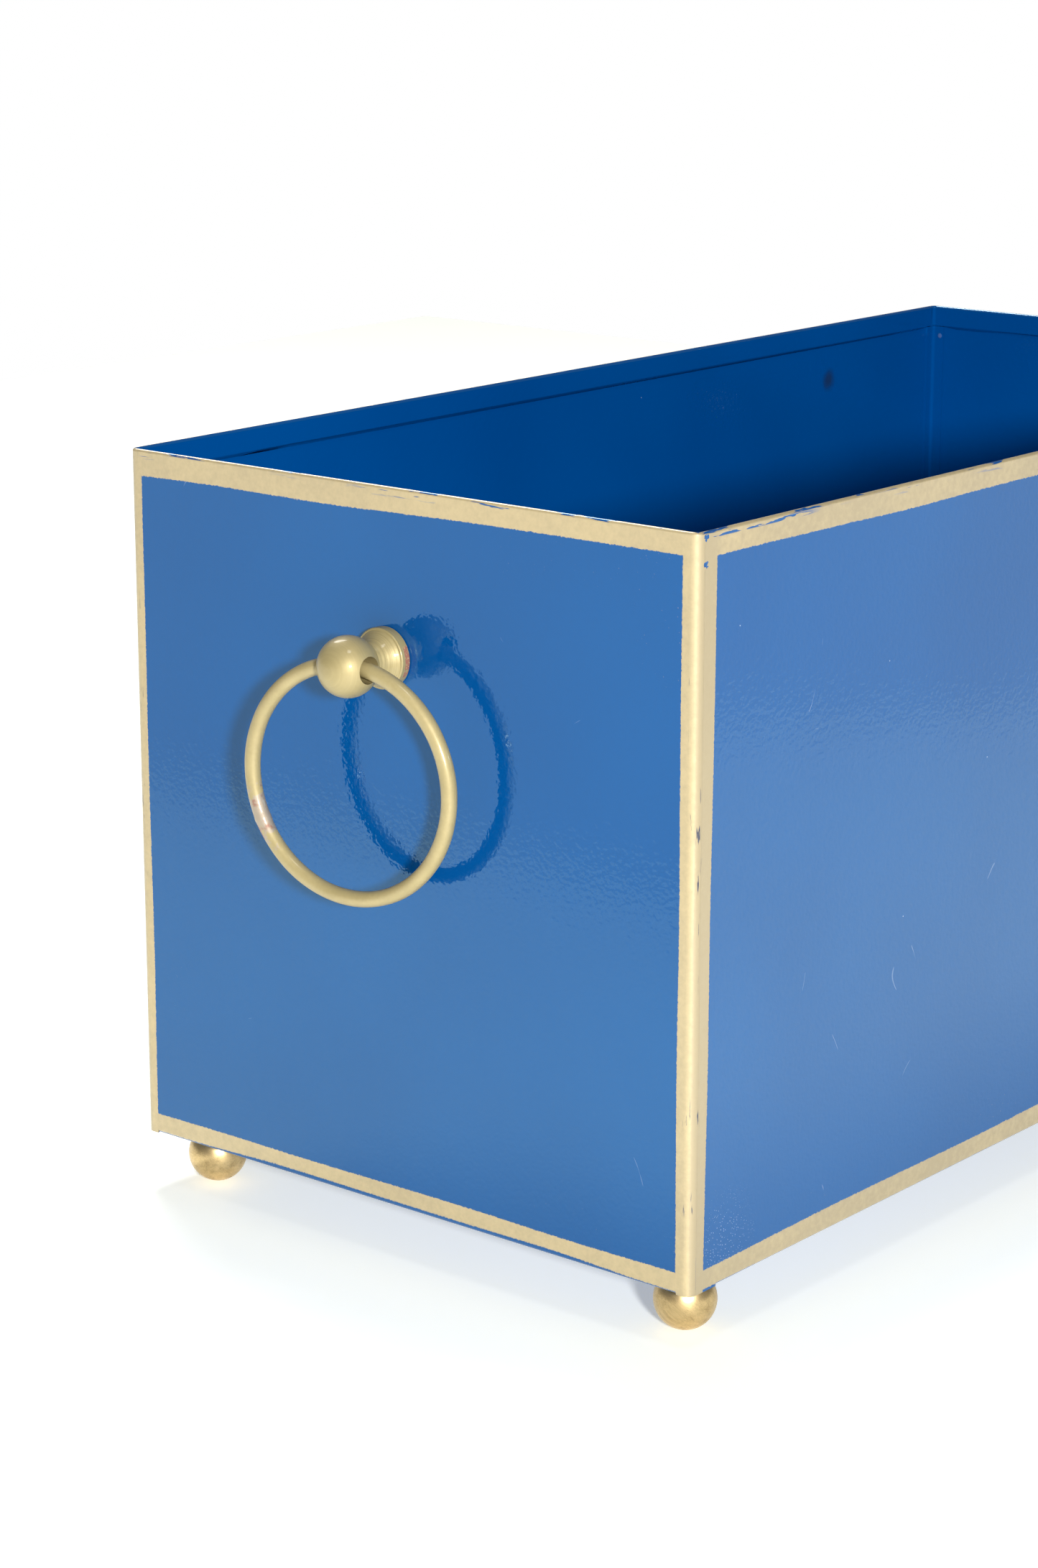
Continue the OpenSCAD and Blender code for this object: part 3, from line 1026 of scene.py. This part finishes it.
# Its front edge is straight up to the first corner, then slants to the back
TABLE_OUTLINE = [
    (TABLE_LEFT, TABLE_FRONT, 0),
    (0.42, TABLE_FRONT, 0),
    (0.53, TABLE_FRONT + 0.10, 0),
    (TABLE_FAR, TABLE_FRONT + 0.30, 0),
    (TABLE_FAR, TABLE_FAR, 0),
    (TABLE_LEFT, TABLE_FAR, 0),
]


def pale_floor():
    """A pale table top that glows faintly, a little less beside the box: a painted shadow."""
    g = Graph("pale_floor")
    shade = g.noise(5, detail=2)
    x, y, _ = g.xyz()
    # Painted shadow: the glow drops beside the box
    painted_shadow_beside_box = g.larger(abs(x) - HALF_L, abs(y) - HALF_W).fade(0.25, 0.02)
    g.set(
        base_color=g.mix(shade + 0.5, (0.89, 0.92, 0.90), (0.91, 0.94, 0.92)),
        roughness=0.6,
        emission_color=(1.0, 0.98, 0.86, 1),
        emission_strength=FLOOR_GLOW - painted_shadow_beside_box * 0.07,
    )
    return g.material


def make_floor():
    """The table under the box, whose near edges the glossy walls mirror."""
    mesh = bpy.data.meshes.new("floor")
    mesh.from_pydata(TABLE_OUTLINE, [], [range(len(TABLE_OUTLINE))])
    floor = new_piece("floor", mesh, pale_floor())
    return floor


def make_world():
    """White to the camera; every other ray meets a room bright below its horizon and dim above."""
    world = bpy.data.worlds.new("studio")
    world.use_nodes = True
    bpy.context.scene.world = world
    tree = world.node_tree
    tree.nodes.clear()
    output = tree.nodes.new("ShaderNodeOutputWorld")
    mix = tree.nodes.new("ShaderNodeMixShader")
    rays = tree.nodes.new("ShaderNodeLightPath")
    plain = tree.nodes.new("ShaderNodeBackground")
    room = tree.nodes.new("ShaderNodeBackground")
    plain.inputs["Color"].default_value = (1, 1, 1, 1)
    coords = tree.nodes.new("ShaderNodeTexCoord")
    split = tree.nodes.new("ShaderNodeSeparateXYZ")
    ramp = tree.nodes.new("ShaderNodeMapRange")
    ramp.inputs["From Min"].default_value = HORIZON_LOW
    ramp.inputs["From Max"].default_value = HORIZON_HIGH
    ramp.inputs["To Min"].default_value = ROOM_BELOW
    ramp.inputs["To Max"].default_value = ROOM_ABOVE
    tree.links.new(coords.outputs["Generated"], split.inputs[0])
    tree.links.new(split.outputs["Z"], ramp.inputs["Value"])
    tree.links.new(ramp.outputs["Result"], room.inputs["Strength"])
    room.inputs["Color"].default_value = (0.96, 0.98, 1.0, 1)
    tree.links.new(rays.outputs["Is Camera Ray"], mix.inputs[0])
    tree.links.new(room.outputs[0], mix.inputs[1])
    tree.links.new(plain.outputs[0], mix.inputs[2])
    tree.links.new(mix.outputs[0], output.inputs["Surface"])


def direction(azimuth, elevation):
    """Unit vector from the object towards a camera or light at that azimuth and elevation."""
    a = math.radians(azimuth)
    e = math.radians(elevation)
    return Vector((math.sin(a) * math.cos(e), -math.cos(a) * math.cos(e), math.sin(e)))


# The lights aim a little left of the box's middle
AIM = Vector((-0.1, 0, 0.12))


def make_light(name, azimuth, elevation, distance, size, watts, only=None):
    """A round soft light aimed at the box; with only, it lights just those objects."""
    lamp = bpy.data.lights.new(name, "AREA")
    lamp.shape = "DISK"
    lamp.size = size
    lamp.energy = watts
    light = bpy.data.objects.new(name, lamp)
    bpy.context.scene.collection.objects.link(light)
    towards = direction(azimuth, elevation)
    light.location = AIM + towards * distance
    light.rotation_mode = "QUATERNION"
    light.rotation_quaternion = towards.to_track_quat("Z", "Y")
    if only is not None:
        lit = bpy.data.collections.new(name + "_lights")
        for thing in only:
            lit.objects.link(thing)
        light.light_linking.receiver_collection = lit


# The camera that fits the straight edges of the box: focal length and sensor in millimetres
LENS = 83.7
SENSOR = 36
CAMERA_AT = (-1.0314, -0.7129, BASE_Z + 0.4205)
CAMERA_AZIMUTH = -50.31
CAMERA_ELEVATION = 14.77


def make_camera():
    """Stands off the front left corner, above the rim, looking slightly down."""
    data = bpy.data.cameras.new("camera")
    data.lens = LENS
    data.sensor_width = SENSOR
    data.clip_start = 0.05
    camera = bpy.data.objects.new("camera", data)
    bpy.context.scene.collection.objects.link(camera)
    camera.location = CAMERA_AT
    camera.rotation_mode = "QUATERNION"
    camera.rotation_quaternion = direction(CAMERA_AZIMUTH, CAMERA_ELEVATION).to_track_quat("Z", "Y")
    bpy.context.scene.camera = camera


pieces = [o for o in bpy.context.scene.objects if o.type == "MESH"]
floor = make_floor()
make_world()
make_light("key", azimuth=-42, elevation=14.5, distance=1.9, size=0.17, watts=43)
make_light("overhead", azimuth=-46, elevation=66, distance=1.5, size=0.30, watts=2.0)
make_light("table", azimuth=135, elevation=70, distance=2.6, size=1.0, watts=56, only=[floor])
make_light("behind", azimuth=152, elevation=48, distance=2.2, size=1.1, watts=34, only=pieces)
make_camera()
bpy.context.scene.view_settings.view_transform = "Standard"
